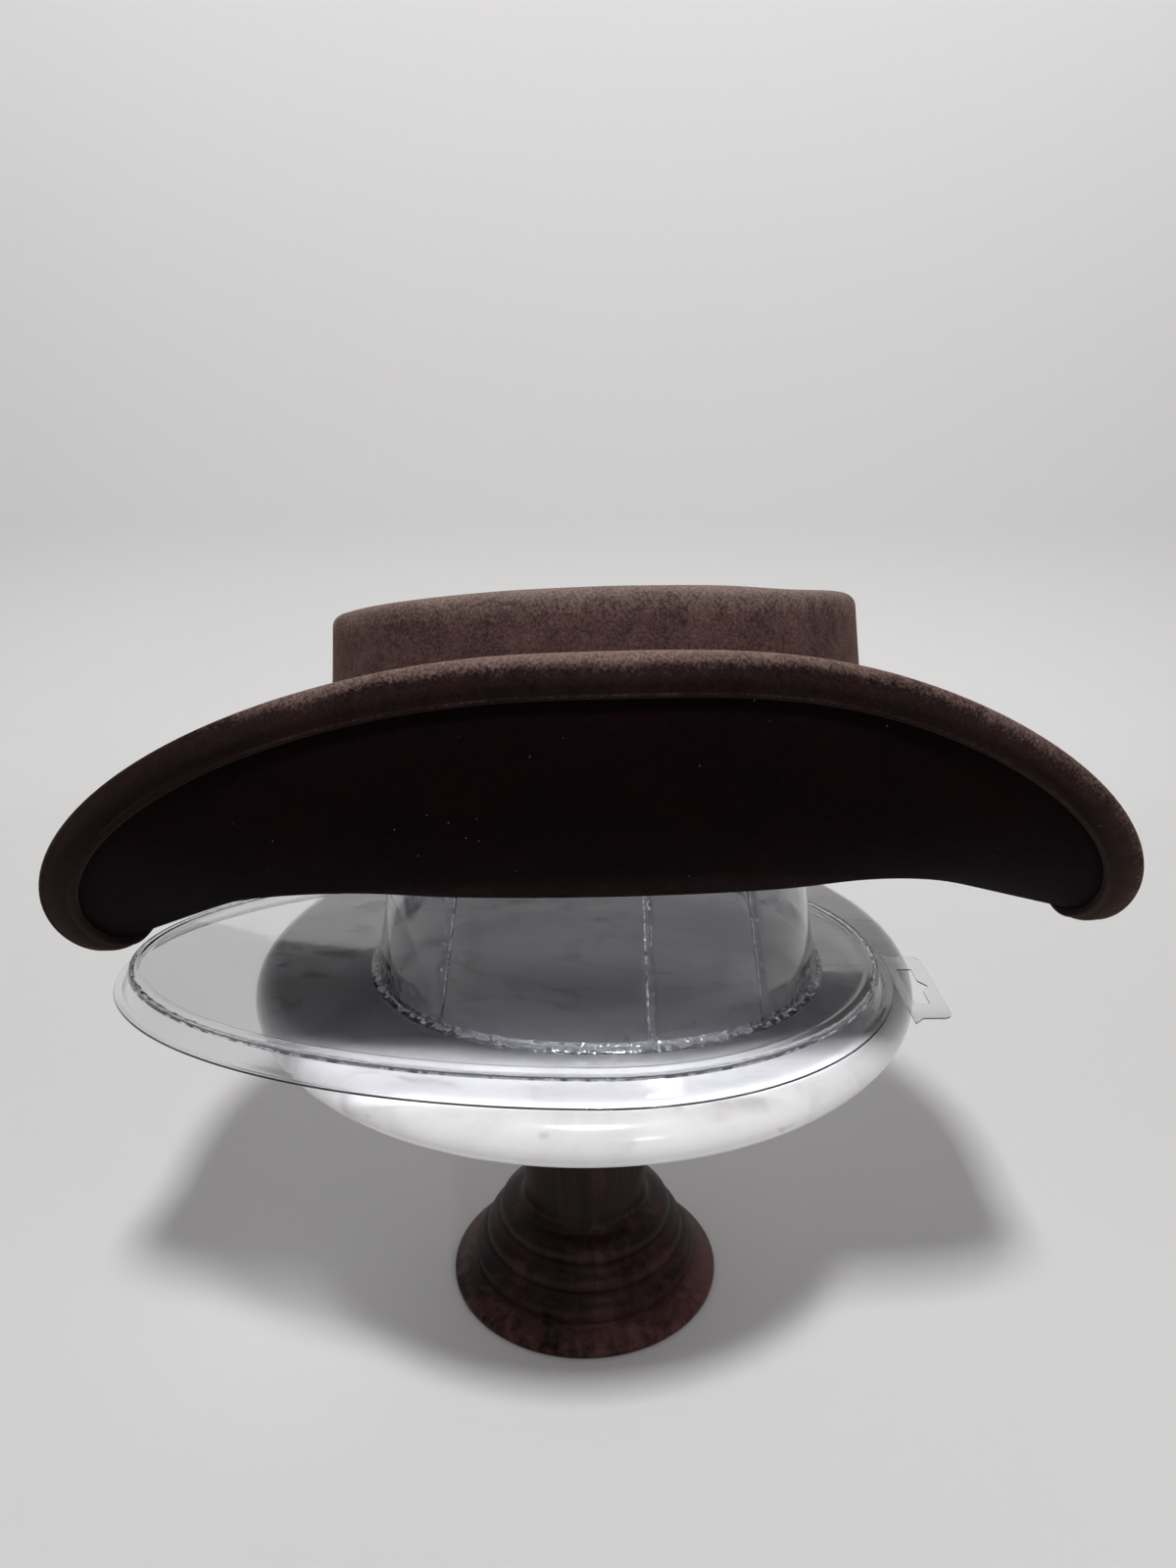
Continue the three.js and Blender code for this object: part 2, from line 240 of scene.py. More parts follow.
# A soft hand-formed ripple, the same for every layer of the brim at one place.
def brimRipple(theta, distance):
    spot = Vector((math.cos(theta) * 1.9, math.sin(theta) * 1.9, distance / 60))
    fade = smoothStep(10, 45, distance)
    return brim["ripple"] * fade * noise.noise(spot)


def brimPoint(theta, distance, depth):
    shape = brimShape(theta)
    step = distance / brim["rollSteps"]
    reach, height = hat["seam"], shape["rootHeight"]
    for number in range(brim["rollSteps"]):
        slope = slopeAt(shape, (number + 0.5) * step)
        reach += math.cos(slope) * step
        height += math.sin(slope) * step
    tilt = slopeAt(shape, distance) * smoothStep(0, 3, distance)
    below = depth + brimRipple(theta, distance)
    reach += math.sin(tilt) * below
    height -= math.cos(tilt) * below
    base = ovalPoint(theta, crown["halfLength"], crown["halfWidth"], crown["ovalPower"])
    outward = ovalOutward(theta, crown["halfLength"], crown["halfWidth"], crown["ovalPower"])
    return Vector((base.x + outward.x * reach, base.y + outward.y * reach, height))


# Suede materials.

# The light colours below are painted highlight, where light grazes the nap on the crown's rim and the top
# of the turned edge.
suedeLook = {
    "crownDark": "#2f2220",
    "crownBody": "#5b4442",
    "crownPaintedHighlight": "#8b7a72",
    # Painted shade: near-black colours for the underside, which faces down away from the light.
    "paintedShadeDark": "#050203",
    "paintedShadeBody": "#120507",
    # The turned edge's colours are a darker copy of the crown's, painted shade for its downward-facing
    # part.
    "edgeShadedDark": "#130b0b",
    "edgeShadedBody": "#271a19",
    "edgePaintedHighlight": "#88716a",
    "lint": "#b9b2a8",
    "patchSize": 30,  # brushed patches in the nap
    "mottleSize": 5,
    "napSize": 1.0,  # real nap is about 0.1 mm, drawn coarser so that it shows
    "lintSpacing": 5,
    "sheenRoughness": 0.5,
}


# Suede, the buffed flesh side of leather: no gloss at all, a short nap that catches light at
# grazing angles, and darker or lighter patches where the nap has been brushed one way or the other.
# The attribute read below is 1 for a painted highlight where light grazes the nap, 0 on the body and -1 for
# painted shade on the underside.
def suedeMaterial(name, dark, body, paintedHighlight, under, sheen):
    material = newMaterial(name)
    spot = addNode(material, "ShaderNodeTexCoord").outputs["Object"]
    patches = addNode(material, "ShaderNodeTexNoise", {
        "Vector": spot, "Scale": 1000 / suedeLook["patchSize"], "Detail": 4.0, "Roughness": 0.6,
        "Distortion": 0.6}).outputs["Fac"]
    mottle = addNode(material, "ShaderNodeTexNoise", {
        "Vector": spot, "Scale": 1000 / suedeLook["mottleSize"], "Detail": 5.0,
        "Roughness": 0.65}).outputs["Fac"]
    nap = addNode(material, "ShaderNodeTexNoise", {
        "Vector": spot, "Scale": 1000 / suedeLook["napSize"], "Detail": 3.0,
        "Roughness": 0.7}).outputs["Fac"]
    broad = addNode(material, "ShaderNodeMath", {0: patches, 1: mottle}, operation="ADD").outputs[0]
    fine = addNode(material, "ShaderNodeMath", {
        0: broad, 1: 0.5, 2: nap}, operation="MULTIPLY_ADD").outputs[0]
    tone = addNode(material, "ShaderNodeMapRange", {
        "Value": fine, "From Min": 0.76, "From Max": 1.24, "To Min": 0.0, "To Max": 1.0}).outputs[0]
    colour = addNode(
        material, "ShaderNodeValToRGB", {"Fac": tone}, [(0.0, dark), (0.8, body)]).outputs[0]
    # Painted light and shade: above 0 this attribute paints a highlight, below 0 it paints shade.
    paintedLightShade = addNode(material, "ShaderNodeAttribute", attribute_name="paintedLightShade").outputs["Fac"]
    ragged = addNode(material, "ShaderNodeMath", {0: fine, 1: 0.9, 2: -0.9}, operation="MULTIPLY_ADD")
    lightening = addNode(material, "ShaderNodeMath", {0: paintedLightShade, 1: ragged.outputs[0]}, operation="ADD").outputs[0]
    share = addNode(material, "ShaderNodeMapRange", {
        "Value": lightening, "From Min": 0.0, "From Max": 0.95}, interpolation_type="SMOOTHSTEP").outputs[0]
    grain = addNode(material, "ShaderNodeMapRange", {
        "Value": nap, "From Min": 0.3, "From Max": 0.7, "To Min": 0.5, "To Max": 1.0}).outputs[0]
    share = addNode(material, "ShaderNodeMath", {0: share, 1: grain}, operation="MULTIPLY").outputs[0]
    # Painted highlight: mixed toward the light colour where the attribute is high, broken up by the nap.
    colour = addNode(material, "ShaderNodeMix", {
        "Factor": share, 6: colour, 7: linearColour(paintedHighlight)}, data_type="RGBA").outputs[2]
    # Painted shade: mixed toward the near-black colours where the attribute is below 0.
    below = addNode(material, "ShaderNodeMapRange", {
        "Value": paintedLightShade, "From Min": -0.9, "From Max": -0.1, "To Min": 1.0, "To Max": 0.0}).outputs[0]
    shaded = addNode(
        material, "ShaderNodeValToRGB", {"Fac": tone},
        [(0.0, suedeLook["paintedShadeDark"]), (1.0, under)]).outputs[0]
    colour = addNode(material, "ShaderNodeMix", {
        "Factor": below, 6: colour, 7: shaded}, data_type="RGBA").outputs[2]
    specks = addNode(material, "ShaderNodeTexVoronoi", {
        "Vector": spot, "Scale": 1000 / suedeLook["lintSpacing"], "Randomness": 1.0}, feature="F1")
    speck = addNode(material, "ShaderNodeMapRange", {
        "Value": specks.outputs["Distance"], "From Min": 0.02, "From Max": 0.048,
        "To Min": 0.6, "To Max": 0.0})
    chosen = addNode(material, "ShaderNodeSeparateColor", {"Color": specks.outputs["Color"]}).outputs[0]
    rare = addNode(material, "ShaderNodeMath", {0: chosen, 1: 0.62}, operation="GREATER_THAN").outputs[0]
    dust = addNode(material, "ShaderNodeMath", {
        0: speck.outputs[0], 1: rare}, operation="MULTIPLY").outputs[0]
    colour = addNode(material, "ShaderNodeMix", {
        "Factor": dust, 6: colour, 7: linearColour(suedeLook["lint"])}, data_type="RGBA").outputs[2]
    relief = addNode(material, "ShaderNodeBump", {"Height": nap, "Strength": 0.35, "Distance": 0.0005})
    relief = addNode(material, "ShaderNodeBump", {
        "Height": mottle, "Strength": 0.25, "Distance": 0.0012, "Normal": relief.outputs[0]})
    shader = addNode(material, "ShaderNodeBsdfPrincipled", {
        "Base Color": colour, "Roughness": 0.95, "Specular IOR Level": 0.05, "Normal": relief.outputs[0],
        "Sheen Weight": sheen, "Sheen Roughness": suedeLook["sheenRoughness"],
        "Sheen Tint": linearColour("#c9ab98")})
    addNode(material, "ShaderNodeOutputMaterial", {"Surface": shader.outputs[0]})
    return material


crownSuede = suedeMaterial(
    "napped suede, crown", suedeLook["crownDark"], suedeLook["crownBody"], suedeLook["crownPaintedHighlight"],
    suedeLook["paintedShadeBody"], 0.12)
brimSuede = suedeMaterial(
    "napped suede, brim", suedeLook["crownDark"], suedeLook["crownBody"], suedeLook["crownPaintedHighlight"],
    suedeLook["paintedShadeBody"], 0.0)
# The turned edge is the same suede as the crown, drawn darker as painted shade.
edgeSuede = suedeMaterial(
    "napped suede, turned edge", suedeLook["edgeShadedDark"], suedeLook["edgeShadedBody"], suedeLook["edgePaintedHighlight"],
    suedeLook["paintedShadeBody"], 0.12)
print("suede ready")


# Crown: one skin with an outer and an inner face, closed in the middle of the recessed top.


def rimDrop(theta):
    along = math.cos(theta)
    drop = crown["frontDrop"] if along < 0 else crown["backDrop"]
    return drop * abs(along) ** 2.5


def crownSection(theta, inside):
    wall = hat["thickness"] if inside else 0
    rootHeight = brimShape(theta)["rootHeight"] - hat["thickness"]
    wave = crown["rimWave"] * noise.noise(Vector((math.cos(theta) * 2.2, math.sin(theta) * 2.2, 3.1)))
    rimCentre = crown["height"] - crown["rimRadius"] - rimDrop(theta) + wave
    radius = crown["rimRadius"] - wall
    wallShares = [number / crown["wallRows"] for number in range(crown["wallRows"] + 1)]
    section = [(share, wall, mix(rootHeight, rimCentre, share)) for share in wallShares]
    for number in range(1, crown["rimRows"] + 1):
        turn = math.radians(number * crown["rimTurnDegrees"] / crown["rimRows"])
        inset = crown["rimRadius"] - radius * math.cos(turn)
        section.append((1, inset, rimCentre + radius * math.sin(turn)))
    foot = 2 * crown["rimRadius"] + crown["recessWallLean"] - wall
    floor = crown["height"] - crown["recessDepth"] - wall
    fillet = crown["recessFillet"]
    top = min(floor + fillet, rimCentre - 1)
    for number in range(crown["filletRows"]):
        turn = math.radians(number * 90 / (crown["filletRows"] - 1))
        inset = foot + fillet * (1 - math.cos(turn))
        section.append((1, inset, floor + (top - floor) * (1 - math.sin(turn))))
    return section


def crownRing(number, inside):
    def ring(theta):
        share, inset, height = crownSection(theta, inside)[number]
        halfLength = crown["halfLength"] - crown["lengthTaper"] * share - inset
        halfWidth = crown["halfWidth"] - crown["widthTaper"] * share - inset
        point = ovalPoint(theta, halfLength, halfWidth, crown["ovalPower"])
        outward = ovalOutward(theta, halfLength, halfWidth, crown["ovalPower"])
        spot = Vector((math.cos(theta) * 2.4, math.sin(theta) * 2.4, height / 45))
        fade = smoothStep(0, 30, height) * (1 - smoothStep(5, 14, inset))
        dent = crown["dent"] * fade * (noise.noise(spot) - 0.2)
        return Vector((point.x + outward.x * dent, point.y + outward.y * dent, height))
    return ring


def buildCrown():
    count = len(crownSection(0, False))
    outer = [crownRing(number, False) for number in range(count)]
    inner = [crownRing(number, True) for number in range(count)]
    recess = [0.9, 0.75, 0.55, 0.35, 0.15, 0.02]  # shares of the flat floor, toward its middle

    def floorRing(share, inside):
        def ring(theta):
            edge = (inner if inside else outer)[-1](theta)
            return Vector((edge.x * share, edge.y * share, edge.z))
        return ring

    outerRings = outer + [floorRing(share, False) for share in recess]
    innerRings = inner + [floorRing(share, True) for share in recess]
    rings = list(reversed(outerRings)) + innerRings
    section = crownSection(math.pi / 2, False)

    def paintedLightShade(row, theta):  # painted highlight on the rim, fading quickly into the wall below it, and painted shade on the inner face
        if row >= len(outerRings):
            return -0.5
        number = len(outerRings) - 1 - row
        if number >= count:
            return 0.1
        if number <= crown["wallRows"]:
            return 0.4 * smoothStep(0.93, 1, section[number][0])
        if number <= crown["highlightRow"]:
            return mix(0.4, 0.95, smoothStep(crown["wallRows"], crown["highlightRow"], number))
        return mix(0.95, 0.1, (number - crown["highlightRow"]) / (count - crown["highlightRow"]))

    piece = growSkin("crown_suede", rings, hat["columns"], "poles", hatPlace, {"paintedLightShade": paintedLightShade})
    dress(piece, crownSuede, "crown_suede", "crown")


buildCrown()


# Brim: one sheet, rolled up at the sides and dipped at the front and back.

welt = {
    "width": 13,
    "puff": 1.2,
    "hemBead": 0.9,
    "hemBeadWidth": 2.6,
    "sheetClearance": 0.08,
    "foldRows": 14,
    "puffRows": 20,
}
foldRadius = hat["thickness"] + hat["seam"] / 2
sheetEnd = foldRadius + hat["seam"]


def brimRing(share, depth):
    def ring(theta):
        width = brimShape(theta)["width"]
        return brimPoint(theta, (width - sheetEnd) * share, depth)
    return ring


def buildBrim():
    shares = [0, 0.01, 0.02, 0.035, 0.055] + [0.08 + 0.92 * number / 34 for number in range(35)]
    under = [brimRing(share, hat["thickness"]) for share in shares]
    upper = [brimRing(share, 0) for share in shares]
    rings = under + list(reversed(upper))

    def paintedLightShade(row, theta):  # painted shade on the underside, less so at the root; the upper face like the crown above
        if row < len(under):
            return -1.0 + 0.2 * (1 - smoothStep(0, 0.4, shares[row]))
        return 0.05

    piece = growSkin("brim_suede", rings, hat["columns"] + 32, "loop", hatPlace, {"paintedLightShade": paintedLightShade})
    dress(piece, brimSuede, "brim_suede", "brim")


buildBrim()


# Turned edge: the suede wraps round the end of the sheet and is sewn down underneath.


def weltSection():
    section = []
    foldRows = welt["foldRows"]
    for number in range(foldRows + 1):  # around the fold, from the upper face to the underside
        turn = math.radians(84 - number * 174 / foldRows)
        inFromEdge, depth = foldRadius * (1 - math.cos(turn)), foldRadius * (1 - math.sin(turn))
        section.append((inFromEdge, depth, number / foldRows * 0.4))
    for number in range(1, welt["puffRows"] + 1):
        share = number / welt["puffRows"]
        inFromEdge = foldRadius + (welt["width"] - foldRadius) * share * 0.995
        toHem = (welt["width"] - inFromEdge) / welt["hemBeadWidth"]
        bead = welt["hemBead"] * max(0, 1 - (2 * toHem - 1) ** 2) if toHem < 1 else 0
        puff = welt["puff"] * math.sin(math.pi * min(share * 1.12, 1))
        section.append((inFromEdge, 2 * foldRadius + puff + bead, 0.4 + 0.6 * share))
    against = hat["thickness"] + welt["sheetClearance"]
    section.append((welt["width"], 2 * foldRadius - 0.9, 1.0))
    section.append((welt["width"] - 0.1, against + 0.1, 1.0))
    for share in (0.9, 0.7, 0.5, 0.3, 0.1):
        section.append((mix(sheetEnd, welt["width"], share), against, 1.0))
    section.append((foldRadius, against, 1.0))
    section.append((foldRadius, 0.4, 0.0))
    return section


def buildWelt():
    section = weltSection()

    def ringAt(inFromEdge, depth):
        def ring(theta):
            return brimPoint(theta, brimShape(theta)["width"] - inFromEdge, depth)
        return ring

    rings = [ringAt(inFromEdge, depth) for inFromEdge, depth, _ in section]

    def paintedLightShade(row, theta):  # painted highlight round the fold, painted shade below and at the front tip, nearly black at the hem with a thin painted highlight on the hem ridge
        share = section[row][2]
        # Painted highlight, strongest on the sides where the rolled edge faces up toward the light.
        side = abs(math.sin(theta)) ** 0.8
        light = 0.85 * side * (1 - smoothStep(0.27, 0.63, share))
        # A thin painted highlight along the hem ridge.
        hem = 0.8 * smoothStep(0.91, 0.94, share) * (1 - smoothStep(0.96, 1, share))
        # Painted shade at the front tip.
        frontTip = 0.9 * smoothStep(0.6, 0.92, -math.cos(theta))
        return light - 0.1 * (1 - side) - 0.7 * smoothStep(0.6, 0.9, share) + hem - frontTip

    piece = growSkin("brim_edge_suede", rings, hat["columns"] + 96, "loop", hatPlace, {"paintedLightShade": paintedLightShade})
    dress(piece, edgeSuede, "welt_suede", "brim_edge_welt")


buildWelt()


# Clear formed holder.

holder = {
    "centre": (5, -28, 169.6),
    "thickness": 0.5,
    "domeHalfLength": 88.5,
    "domeHalfWidth": 79,
    "domeTopHalfLength": 71.5,
    "domeTopHalfWidth": 58,
    "domeCapRise": 28,
    "domePower": 2.2,
    "trayHeight": 9,
    "trayHalfWidth": 95.5,
    "trayBackLength": 114,
    "trayFrontLength": 190,
    "skirtFlare": 4,
    "lipWidth": 3,
    "lipBead": 0.35,
    "trayBead": 0.5,
    "trayBeadWidth": 5,
    "fluteDepth": 1.4,
    "fluteWidthDegrees": 1.2,
    "flutesDegrees": (227, 284, 316, 44, 76, 133),
    "crinkle": 0.35,
    "domeFillet": 3,
    "domeRows": 12,
    "capRows": 12,
    "capStepDegrees": 7.3,
    "tabLength": 17,
    "tabWidth": 52,
    "tabCorner": 4,
    "tabOffsetY": -15,
    "slotLength": 29,
    "slotWidth": 6,
    "slotInset": 5,
    "slotPoint": 3,
    "slotPointHalfWidth": 4.5,
    "columns": 480,
}
quarterTurns = (0, 30, 60, 90)  # degrees, for small beads and fillets


def domeCapHeight():
    up = hatPlace.to_3x3() @ Vector((0, 0, 1))
    seatPoint = hatPlace @ Vector((0, 0, crown["height"] - crown["recessDepth"] - hat["thickness"]))
    seat = seatPoint.dot(up) - hat["seam"]
    bulge = Vector((
        holder["domeTopHalfLength"] * up.x, holder["domeTopHalfWidth"] * up.y,
        holder["domeCapRise"] * up.z))
    level = seat - bulge.length - holder["centre"][0] * up.x - holder["centre"][1] * up.y
    return level / up.z - holder["centre"][2]


def trayRing(grow, height):
    def ring(theta):
        length = (holder["trayFrontLength"] if math.cos(theta) < 0 else holder["trayBackLength"]) + grow
        point = ovalPoint(theta, length, holder["trayHalfWidth"] + grow, 2)
        return Vector((point.x, point.y, height))
    return ring


def degreesFrom(flute, theta):
    return (math.degrees(theta) - flute + 180) % 360 - 180


def domeRing(halfLength, halfWidth, height, fluteShare):
    def ring(theta):
        point = ovalPoint(theta, halfLength, halfWidth, holder["domePower"])
        outward = ovalOutward(theta, halfLength, halfWidth, holder["domePower"])
        dip, near = 0, 0.25
        for flute in holder["flutesDegrees"]:
            away = degreesFrom(flute, theta)
            dip += math.exp(-(away / holder["fluteWidthDegrees"]) ** 2)
            near += math.exp(-(away / (4 * holder["fluteWidthDegrees"])) ** 2)
        spot = Vector((math.cos(theta) * 11, math.sin(theta) * 11, height / 7))
        depth = fluteShare * (holder["fluteDepth"] * dip + holder["crinkle"] * near * noise.noise(spot))
        return Vector((point.x - outward.x * depth, point.y - outward.y * depth, height))
    return ring


def holderFace(wall):
    cap = domeCapHeight()
    flare, lip, tray = holder["skirtFlare"], holder["lipWidth"], holder["trayHeight"]
    length, width = holder["domeHalfLength"], holder["domeHalfWidth"]
    base = holder["thickness"] - wall
    half = holder["thickness"] / 2
    rings = []
    bends = []
    for turn in quarterTurns:  # the cut end of the lip, turned up into a small bead
        rise = math.sin(math.radians(turn)) * (half + holder["lipBead"] if wall == 0 else -half)
        rings.append(trayRing(flare + lip + half * (math.cos(math.radians(turn)) - 1), half + rise))
    rings.append(trayRing(flare + lip - 1.5, base))
    rings.append(trayRing(flare + 0.6 - wall, base))
    rings.append(trayRing(flare - 0.2 - wall, base + 0.3))
    for share in (0.1, 0.35, 0.65, 0.9):
        grow = mix(flare - 0.5, 0.6, share) - wall
        rings.append(trayRing(grow, mix(base + 0.8, tray - wall - 0.8, share)))
    bends.append(len(rings) + 1)
    rings.append(trayRing(0.45 - wall, tray - wall - 0.6))
    rings.append(trayRing(0.1 - wall, tray - wall - 0.1))
    rings.append(trayRing(-wall - 0.4, tray - wall))
    for share in (0.15, 0.35, 0.5, 0.65, 0.85, 1):  # the raised bead inside the tray's edge
        rise = holder["trayBead"] * math.sin(math.pi * share) ** 2
        rings.append(trayRing(-wall - 0.6 - holder["trayBeadWidth"] * share, tray - wall + rise))
    bends.append(len(rings) + 2)
    for turn in quarterTurns:  # fillet from the tray up into the dome's wall
        reach = holder["domeFillet"] * (1 - math.sin(math.radians(turn)))
        rise = holder["domeFillet"] * (1 - math.cos(math.radians(turn)))
        rings.append(domeRing(length - wall + reach, width - wall + reach, tray - wall + rise, turn / 90))
    for number in range(1, holder["domeRows"] + 1):
        share = number / holder["domeRows"]
        rings.append(domeRing(
            mix(length, holder["domeTopHalfLength"], share) - wall,
            mix(width, holder["domeTopHalfWidth"], share) - wall,
            mix(tray + holder["domeFillet"], cap, share), 1 - 0.3 * share))
    for number in range(1, holder["capRows"] + 1):
        turn = math.radians(number * holder["capStepDegrees"])
        rings.append(domeRing(
            (holder["domeTopHalfLength"] - wall) * math.cos(turn),
            (holder["domeTopHalfWidth"] - wall) * math.cos(turn),
            cap + (holder["domeCapRise"] - wall) * math.sin(turn), 0.7 * math.cos(turn) ** 3))
    return rings, bends


# Clear formed PET sheet: colourless, glossy, very thin. Most light goes straight through, the rolled
# edges and bends catch bright lines, and painted grey at the bends stands in for the sheet seen edge on.
def clearSheetMaterial():
    material = newMaterial("clear formed plastic sheet")
    spot = addNode(material, "ShaderNodeTexCoord").outputs["Object"]
    waves = addNode(material, "ShaderNodeTexNoise", {
        "Vector": spot, "Scale": 1000 / 16, "Detail": 2.0, "Roughness": 0.5}).outputs["Fac"]
    relief = addNode(material, "ShaderNodeBump", {"Height": waves, "Strength": 0.08, "Distance": 0.0008})
    smudge = addNode(material, "ShaderNodeTexNoise", {
        "Vector": spot, "Scale": 1000 / 22, "Detail": 4.0, "Roughness": 0.6}).outputs["Fac"]
    roughness = addNode(material, "ShaderNodeMapRange", {
        "Value": smudge, "From Min": 0.35, "From Max": 0.75, "To Min": 0.02, "To Max": 0.12}).outputs[0]
    bend = addNode(material, "ShaderNodeAttribute", attribute_name="bend").outputs["Fac"]
    dimples = addNode(material, "ShaderNodeTexNoise", {
        "Vector": spot, "Scale": 1000 / 4, "Detail": 1.0, "Roughness": 0.5}).outputs["Fac"]
    dimples = addNode(material, "ShaderNodeMath", {0: dimples, 1: bend}, operation="MULTIPLY").outputs[0]
    relief = addNode(material, "ShaderNodeBump", {
        "Height": dimples, "Strength": 1.0, "Distance": 0.002, "Normal": relief.outputs[0]})
    glass = addNode(material, "ShaderNodeBsdfPrincipled", {
        "Base Color": linearColour("#f5f5f7"), "Roughness": roughness, "IOR": 1.5,
        "Transmission Weight": 1.0, "Normal": relief.outputs[0]})
    # Painted grey at the bends, standing in for the lines the sheet shows where it is seen edge on.
    paintedBendGrey = addNode(material, "ShaderNodeBsdfPrincipled", {
        "Base Color": linearColour("#9a9eac"), "Roughness": 0.25, "Specular IOR Level": 0.6,
        "Normal": relief.outputs[0]})
    paintedBendShare = addNode(material, "ShaderNodeMath", {0: bend, 1: 0.3}, operation="MULTIPLY").outputs[0]
    glass = addNode(material, "ShaderNodeMixShader", {
        0: paintedBendShare, 1: glass.outputs[0], 2: paintedBendGrey.outputs[0]})
    lampLight = addNode(material, "ShaderNodeBsdfTransparent", {"Color": linearColour("#d2d3d6")})
    ray = addNode(material, "ShaderNodeLightPath").outputs["Is Shadow Ray"]
    sheet = addNode(material, "ShaderNodeMixShader", {0: ray, 1: glass.outputs[0], 2: lampLight.outputs[0]})
    addNode(material, "ShaderNodeOutputMaterial", {"Surface": sheet.outputs[0]})
    return material


clearSheet = clearSheetMaterial()


def buildHolder():
    outer, bends = holderFace(0)
    inner = holderFace(holder["thickness"])[0]
    rings = list(reversed(outer)) + inner
    place = Matrix.Translation(holder["centre"])

    def bend(row, theta):  # 1 where the sheet was bent sharply when it was formed
        number = len(outer) - 1 - row if row < len(outer) else row - len(outer)
        away = min(abs(degreesFrom(flute, theta)) for flute in holder["flutesDegrees"])
        crease = 0.7 * smoothStep(1.4, 0.4, away) if number > bends[-1] else 0
        if number in bends:
            return 1.0
        return max(crease, 0.45 if number - 1 in bends or number + 1 in bends else 0)

    piece = growSkin("holder_sheet", rings, holder["columns"], "poles", place, {"bend": bend})
    dress(piece, clearSheet, "clear_plastic", "clear_holder")


buildHolder()


def buildTab():
    half, corner, length = holder["tabWidth"] / 2, holder["tabCorner"], holder["tabLength"]
    overlap = holder["lipWidth"] / 2  # the slot is placed from the middle of the lip
    start = holder["trayBackLength"] + holder["skirtFlare"] + holder["lipWidth"] + 0.05
    outline = [(0, -half - corner), (corner, -half)]
    for side in (-1, 1):
        for number in range(7):  # the two outer corners are round
            turn = math.radians(number * 15 if side > 0 else 90 - number * 15)
            x = length - overlap - corner + corner * math.cos(turn)
            outline.append((x, side * (half - corner + corner * math.sin(turn))))
    outline += [(corner, half), (0, half + corner)]
    slotHalf, point = holder["slotLength"] / 2, holder["slotPoint"]
    near = holder["slotInset"] - overlap
    far = near + holder["slotWidth"]
    slot = [(near, -slotHalf), (far, -slotHalf), (far, -holder["slotPointHalfWidth"]), (far + point, 0)]
    slot += [(far, holder["slotPointHalfWidth"]), (far, slotHalf), (near, slotHalf)]
    bm = bmesh.new()
    edges = []
    for path in (outline, slot):
        verts = [bm.verts.new((x, y, 0)) for x, y in path]
        for number, vert in enumerate(verts):
            edges.append(bm.edges.new((vert, verts[(number + 1) % len(verts)])))
    filled = bmesh.ops.triangle_fill(bm, edges=edges, use_beauty=True, normal=(0, 0, 1))
    faces = [item for item in filled["geom"] if isinstance(item, bmesh.types.BMFace)]
    raised = bmesh.ops.extrude_face_region(bm, geom=faces)["geom"]
    top = [item for item in raised if isinstance(item, bmesh.types.BMVert)]
    bmesh.ops.translate(bm, verts=top, vec=(0, 0, holder["thickness"]))
    bmesh.ops.recalc_face_normals(bm, faces=bm.faces)
    x, y, z = holder["centre"]
    place = Matrix.Translation((x + start, y + holder["tabOffsetY"], z))
    bmesh.ops.transform(bm, matrix=Matrix.Scale(mm, 4) @ place, verts=bm.verts)
    piece = finishPiece("holder_hang_tab", bm, smooth=False)
    dress(piece, clearSheet, "clear_plastic", "clear_holder")


buildTab()


# Turned pieces: marble disc and wooden foot, spun from half sections.


def spinProfile(name, profile, steps, place):
    bm = bmesh.new()
    verts = [bm.verts.new((x, 0, z)) for x, z in profile]
    edges = [bm.edges.new(pair) for pair in zip(verts, verts[1:])]
    bmesh.ops.spin(
        bm, geom=verts + edges, cent=(0, 0, 0), axis=(0, 0, 1), angle=2 * math.pi, steps=steps,
        use_merge=True)
    bmesh.ops.remove_doubles(bm, verts=bm.verts, dist=0.001)
    bmesh.ops.recalc_face_normals(bm, faces=bm.faces)
    bmesh.ops.transform(bm, matrix=Matrix.Scale(mm, 4) @ place, verts=bm.verts)
    return finishPiece(name, bm)


marble = {
    "radius": 140,
    "thickness": 20,
    "bottom": 149.3,
    "flatRadii": (60, 100),  # rings in the flat faces
    "edgeRows": 24,
    "steps": 192,
}


